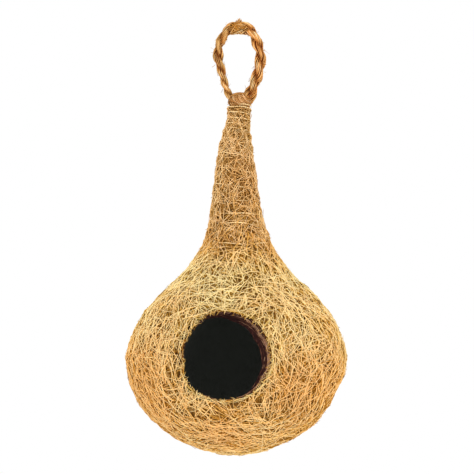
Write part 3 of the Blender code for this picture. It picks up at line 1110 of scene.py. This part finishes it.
class NEST_OT_felt_fibres(bpy.types.Operator):
    """Fibres of the bulb and the neck, crossing in layers"""

    bl_idname = "coir_nest.felt_fibres"
    bl_label = "Felt Fibres"

    def execute(self, context):
        felt = Felt("nest_body")
        paint = fibre_paint("coir_felt", *felt_shades())
        neck_paint = fibre_paint("coir_neck", *neck_shades())
        width, length = sizes().fibre_width, sizes().fibre_length
        zones = [  # name, highest, lowest, the fibres' size and how thickly they cover
            ("neck_fibres", felt.top, CROWN_TOP, 0.8, 1.35),
            ("crown_fibres", CROWN_TOP, BELLY_TOP, 1.0, 1.0),
            ("belly_fibres", BELLY_TOP, BASE_TOP, 1.0, 1.02),
            ("base_fibres", BASE_TOP, felt.bottom, 1.0, 1.02),
        ]
        for name, top, bottom, fine, full in zones:
            rng = draws(name)
            strands = Strands()
            for cover, lifts, thick, usual, stray in FELT_LAYERS:
                paths, normal, t, turn_in = over_the_felt(
                    felt,
                    rng,
                    top,
                    bottom,
                    sizes().layers * full * cover,
                    fibre_heading,
                    width * fine,
                    length * fine,
                    lifts,
                )
                radius = 0.5 * width * fine * thick * rng.uniform(0.55, 1.35, (len(paths), 1))
                radius = radius * (1 - 0.35 * np.abs(2 * t - 1) ** 3)
                tone, warmth = felt_look(paths, normal, rng, usual, stray)
                strands.add(paths, normal, radius, *turned_in(tone, warmth, turn_in))
            shades = neck_paint if name == "neck_fibres" else paint
            part_of_nest(strands.piece(name, shades), "coir_felt")
        self.add_long(felt, paint)
        return {"FINISHED"}

    def add_long(self, felt, paint):
        """A few long pale strands that lie over the rest."""
        rng = draws("long strands")
        width, length = sizes().fibre_width, 2.4 * sizes().fibre_length

        def wide(place):
            """The usual heading, but straying more, except under the base."""
            usual, stray = fibre_heading(place)
            return usual, stray + 0.5 * (1 - blended(-300 * MM, -315 * MM, place[:, 2]))

        paths, normal, t, turn_in = over_the_felt(
            felt, rng, -165 * MM, felt.bottom, 0.22, wide, width, length, (-0.25, 0.4), 14, 0.05
        )
        radius = 0.36 * width * rng.uniform(0.7, 1.3, (len(paths), 1))
        radius = radius * (1 - 0.3 * np.abs(2 * t - 1) ** 3)
        tone, warmth = felt_look(paths, normal, rng, 1.12, 0.08)
        strands = Strands()
        strands.add(paths, normal, radius, *turned_in(tone, warmth, turn_in), 0.35)
        part_of_nest(strands.piece("long_strands", paint), "coir_felt")


class NEST_OT_entrance_lip(bpy.types.Operator):
    """Reddish fibres along the wall of the entrance, dark with painted shade and a painted band of
    light, and pale ones round its rim
    """

    bl_idname = "coir_nest.entrance_lip"
    bl_label = "Entrance Lip"

    def execute(self, context):
        # The wall's near-black colours are painted shade inside the entrance.
        cool = [(0.01, 0.004, 0.003), (0.07, 0.024, 0.012), (0.34, 0.16, 0.07), (0.78, 0.54, 0.32)]
        warm = [(0.008, 0.003, 0.004), (0.04, 0.01, 0.01), (0.19, 0.065, 0.04), (0.56, 0.30, 0.18)]
        paint = fibre_paint("coir_lip", cool, warm, 0.1)
        felt = Felt("nest_body")
        rng = draws("entrance lip")
        strands = Strands()
        count, points = WALL_FIBRES, 9
        t = np.linspace(0, 1, points)[None]
        first = rng.uniform(0, 2 * math.pi, (count, 1))
        angle = first + rng.uniform(0.3, 1.0, (count, 1)) * rng.choice([-1, 1], (count, 1)) * t
        across = rng.uniform(1.8, 15.0, (count, 1)) + rng.normal(0, 2.2, (count, 1)) * (t - 0.5)
        across = across + 0.4 * np.sin(9 * t + 7 * first)
        place, normal = on_lip(felt, angle, across * MM)
        lift = rng.uniform(-1.0, 0.5, (count, 1)) + 0.3 * np.sin(17 * t + 11 * first)
        lift = lift - 1.0 * np.maximum(np.abs(2 * t - 1) - 0.7, 0) / 0.3
        lift = lift + felt.swell(place) / MM * (1 - blended(-2, 2, across))
        # Painted shade deepens into the entrance, fibres that stand higher are painted lighter, and
        # lit is a painted band of light along the wall.
        deep = blended(4, 12, across)
        lit = np.exp(-(((across - 4.6) / 2.1) ** 2))
        tone = 0.02 + 0.33 * lit + 0.25 * lift + rng.normal(0, 0.48, (count, 1)) - 0.45 * deep
        warmth = 0.5 + 0.3 * deep + rng.normal(0, 0.25, (count, 1))
        radius = rng.uniform(0.15, 0.34, (count, 1)) * MM
        paths = place + normal * lift[..., None] * MM
        strands.add(paths, normal, radius, np.clip(tone, 0.02, 0.99), np.clip(warmth, 0, 1))
        part_of_nest(strands.piece("entrance_wall", paint), "coir_felt")
        strands = Strands()
        self.add_rim(felt, rng, strands)
        self.add_ends(felt, rng, strands)
        rim_paint = fibre_paint("coir_rim", *felt_shades())
        part_of_nest(strands.piece("entrance_rim", rim_paint), "coir_felt")
        return {"FINISHED"}

    def add_rim(self, felt, rng, strands):
        """Pale fibres that run round the rim and close its edge."""
        count, points = RIM_FIBRES, 9
        t = np.linspace(0, 1, points)[None]
        first = rng.uniform(0, 2 * math.pi, (count, 1))
        angle = first + rng.uniform(0.15, 0.5, (count, 1)) * rng.choice([-1, 1], (count, 1)) * t
        across = rng.uniform(-3.5, 0.2, (count, 1)) + rng.normal(0, 1.8, (count, 1)) * (t - 0.5)
        across = np.minimum(across, -0.8)
        place, normal = on_lip(felt, angle, across * MM)
        turn_in = blended(-2, 2, across)
        lift = rng.uniform(-1.4, -0.2, (count, 1)) + felt.swell(place) / MM * (1 - turn_in)
        lift = lift - 0.8 * np.maximum(np.abs(2 * t - 1) - 0.6, 0) / 0.4
        tone = 0.75 + rng.normal(0, 0.25, (count, 1))
        radius = rng.uniform(0.22, 0.40, (count, 1)) * MM
        paths = place + normal * lift[..., None] * MM
        strands.add(paths, normal, radius, *turned_in(tone, 0.1, turn_in))

    def add_ends(self, felt, rng, strands):
        """Short ends that cross the rim and stand a little into the entrance."""
        count, points = RIM_ENDS, 7
        t = np.linspace(0, 1, points)[None]
        angle = rng.uniform(0, 2 * math.pi, (count, 1)) + rng.normal(0, 0.10, (count, 1)) * t
        across = rng.uniform(-6, 0, (count, 1)) + rng.uniform(3, 7, (count, 1)) * t
        lift = rng.uniform(-0.6, 0.1, (count, 1)) + rng.uniform(0.1, 2.6, (count, 1)) * t**2
        place, normal = on_lip(felt, angle, across * MM)
        turn_in = blended(-1, 4, across)
        lift = lift + felt.swell(place) / MM * (1 - turn_in)
        # The ends are painted darker with shade, and redder, as they reach into the entrance.
        tone = 0.80 + rng.normal(0, 0.12, (count, 1)) - 0.35 * turn_in
        radius = rng.uniform(0.14, 0.28, (count, 1)) * MM
        paths = place + normal * lift[..., None] * MM
        strands.add(paths, normal, radius, np.clip(tone, 0.02, 0.99), 0.2 + 0.5 * turn_in)


class NEST_OT_neck_wad(bpy.types.Operator):
    """Reddish wad of coir between the rope's legs"""

    bl_idname = "coir_nest.neck_wad"
    bl_label = "Wad On The Neck"

    def execute(self, context):
        shade = colours()
        warm = [(0.20, 0.05, 0.01), (0.46, 0.19, 0.04), (0.62, 0.28, 0.09), (0.90, 0.56, 0.28)]
        cool = [(0.12, 0.05, 0.012), (0.42, 0.22, 0.07), (0.70, 0.42, 0.16), tuple(shade.straw)]
        paint = fibre_paint("coir_neck_wad", cool, warm)
        rng = draws("neck wad")
        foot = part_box("neck_wad")[0].z
        middle = np.array((0.3 * MM, 0.0, foot + 2.6 * MM))
        size = np.array((9.8, 7.8, 7.6)) * MM
        strands = Strands()
        count, points = NECK_WAD_FIBRES, 9
        t = np.linspace(-1, 1, points)[None]
        lean = rng.normal(0, 0.5, (count, 1))
        turn = rng.uniform(0, 2 * math.pi, (count, 1)) + rng.uniform(0.4, 1.1, (count, 1)) * t
        rise = np.clip(rng.uniform(-0.9, 0.95, (count, 1)) + 0.45 * lean * t, -0.98, 0.98)
        flat = np.sqrt(1 - rise**2)
        ball = np.stack([np.cos(turn) * flat, np.sin(turn) * flat, rise], -1)
        paths = middle + ball * size * (1 + rng.uniform(-0.22, 0.0, (count, 1, 1)))
        tone = np.clip(0.22 + rng.normal(0, 0.16, (count, 1)), 0.02, 0.98)
        warmth = np.clip(0.6 + rng.normal(0, 0.2, (count, 1)), 0, 1)
        radius = rng.uniform(0.26, 0.45, (count, 1)) * MM
        strands.add(paths, unit(ball / size), radius, tone, warmth)
        self.add_arcs(rng, strands, middle, size)
        part_of_nest(strands.piece("neck_wad_fibres", paint), "coir_wad", "neck_wad")
        return {"FINISHED"}

    def add_arcs(self, rng, strands, middle, size):
        """Fibres on the front and the back of the wad, curving round the foot of the +X leg."""
        count, points = NECK_WAD_ARCS, 12
        t = np.linspace(0, 1, points)[None]
        face = rng.choice([-1, 1], (count, 1))
        reach = rng.uniform(4.5, 24, (count, 1)) * MM
        turn = rng.uniform(2.3, 4.3, (count, 1)) + rng.uniform(4, 10, (count, 1)) * MM / reach * t
        x = (LEG_FOOT_TURN[0] + reach * np.cos(turn) - middle[0]) / size[0]
        z = (LEG_FOOT_TURN[1] + reach * np.sin(turn) - middle[2]) / size[2]
        out = x**2 + z**2
        flat = np.stack([x, face * np.sqrt(np.maximum(1 - out, 0)), z], -1)
        flat, _ = trimmed(flat, out < 0.96)
        count = len(flat)
        paths = middle + flat * size * (1 + rng.uniform(-0.14, 0.06, (count, 1, 1)))
        tone = 0.54 + rng.normal(0, 0.32, (count, 1)) + 0.14 * ripple(paths, 7 * MM, 81)
        left = blended(0, -8 * MM, paths[..., 0])
        warmth = 0.75 - 0.55 * left + rng.normal(0, 0.2, (count, 1))
        radius = rng.uniform(0.24, 0.42, (count, 1)) * MM
        tone = np.clip(tone + 0.12 * left, 0.02, 0.98)
        strands.add(paths, unit(flat / size), radius, tone, np.clip(warmth, 0, 1))


class NEST_OT_binding_thread(bpy.types.Operator):
    """Pale two-ply thread wound down the neck"""

    bl_idname = "coir_nest.binding_thread"
    bl_label = "Binding Thread"

    def execute(self, context):
        pale = tuple(colours().thread)
        dark = tuple(0.55 * value for value in pale)
        paint = fibre_paint("pale_thread", [dark, pale], [dark, (1.0, 0.66, 0.29)])
        felt = Felt("nest_body")
        turns = np.arange((len(THREAD_HEIGHTS) - 1) * THREAD_STEPS) / THREAD_STEPS
        z = np.interp(turns, np.arange(len(THREAD_HEIGHTS)), THREAD_HEIGHTS)
        turn = 2 * math.pi * turns - math.pi / 2
        radius = felt.radius_at(z)
        line = np.stack([felt.middle(z) + radius * np.cos(turn), radius * np.sin(turn), z], 1)
        line[:, 2] += 0.5 * MM * ripple(line, 26 * MM, 71)
        place, normal = felt.settle(line)
        width = sizes().thread_width
        coming = 0.5 + 0.5 * ripple(place, 34 * MM, 76)
        loose = blended(-60 * MM, -63 * MM, place[:, 2])
        sunk = 0.35 * width + (0.2 * thread_sunk(place[:, 2]) + 0.9 * loose * coming) * MM
        line = place + normal * (felt.swell(place) - sunk)[:, None]
        line[:, 1] *= 1 - 0.12 * blended(-61 * MM, -58 * MM, line[:, 2])
        along = unit(np.gradient(line, axis=0))
        level = np.cross(along, normal)
        strands = Strands(sides=5)
        for ply in range(2):
            turn = (math.pi * ply + 2 * math.pi * walked_along(line) / THREAD_LAY)[:, None]
            off = np.cos(turn) * normal + np.sin(turn) * level
            path = line + 0.24 * width * off
            tone = 0.75 + 0.25 * ripple(path, 20 * MM, 72 + ply)
            radius = 0.27 * width * (1 + 0.12 * ripple(path, 6 * MM, 74 + ply))
            strands.add_one(path, normal, radius, tone, 0.25)
        part_of_nest(strands.piece("binding_thread_yarn", paint), "pale_thread", "binding_thread")
        return {"FINISHED"}


class NEST_OT_stray_hairs(bpy.types.Operator):
    """Loose ends that stand off the felt all over"""

    bl_idname = "coir_nest.stray_hairs"
    bl_label = "Stray Hairs"

    def execute(self, context):
        felt = Felt("nest_body")
        paint = fibre_paint("coir_hairs", *felt_shades())
        rng = draws("stray hairs")
        count, points = STRAY_HAIRS, 7
        start = felt.scatter(rng, count, felt.top, felt.bottom)
        start = start[from_entrance(start)[0] > 3 * MM]
        count = len(start)
        place, normal = felt.settle(start)
        heading = unit(rng.normal(size=(count, 3)))
        length = rng.uniform(4, 14, count) * MM
        kinks = rng.normal(0, 0.06, (count, points - 1))
        paths = grown(felt, place, heading, length, rng.normal(0, 25, count), kinks)
        paths, _ = trimmed(paths, from_entrance(paths)[0] > 0)
        count = len(paths)
        place, normal = felt.settle(paths)
        t = np.linspace(0, 1, points)[None]
        height = rng.uniform(0.3, 1.7, (count, 1)) * t**1.5 + rng.uniform(-0.6, 0.1, (count, 1))
        paths = place + normal * (height * MM + felt.swell(place))[..., None]
        tone, warmth = felt_look(paths, normal, rng, 0.8, 0.1)
        radius = rng.uniform(0.10, 0.22, (count, 1)) * MM
        strands = Strands()
        strands.add(paths, normal, radius, tone, warmth)
        part_of_nest(strands.piece("stray_hairs", paint), "coir_felt")
        return {"FINISHED"}


STEPS = (
    NEST_OT_studio,
    NEST_OT_rope,
    NEST_OT_loop_wad,
    NEST_OT_felt_ground,
    NEST_OT_felt_fibres,
    NEST_OT_entrance_lip,
    NEST_OT_neck_wad,
    NEST_OT_binding_thread,
    NEST_OT_stray_hairs,
)


class NEST_PT_panel(bpy.types.Panel):
    """Buttons for the nest's pieces, with their sizes and colours"""

    bl_label = "Coir Nest"
    bl_idname = "NEST_PT_panel"
    bl_space_type = "VIEW_3D"
    bl_region_type = "UI"
    bl_category = "Coir Nest"

    def draw(self, context):
        for step in STEPS:
            self.layout.operator(step.bl_idname)
        for group in (context.scene.coir_nest_sizes, context.scene.coir_nest_colours):
            for name in group.__annotations__:
                self.layout.prop(group, name)


CLASSES = (NestSizes, NestColours, *STEPS, NEST_PT_panel)


def register():
    for item in CLASSES:
        bpy.utils.register_class(item)
    bpy.types.Scene.coir_nest_sizes = bpy.props.PointerProperty(type=NestSizes)
    bpy.types.Scene.coir_nest_colours = bpy.props.PointerProperty(type=NestColours)


def unregister():
    del bpy.types.Scene.coir_nest_colours
    del bpy.types.Scene.coir_nest_sizes
    for item in reversed(CLASSES):
        bpy.utils.unregister_class(item)


def main():
    """Makes every piece in turn."""
    register()
    for step in STEPS:
        group, name = step.bl_idname.split(".")
        getattr(getattr(bpy.ops, group), name)()


if __name__ == "__main__":
    main()
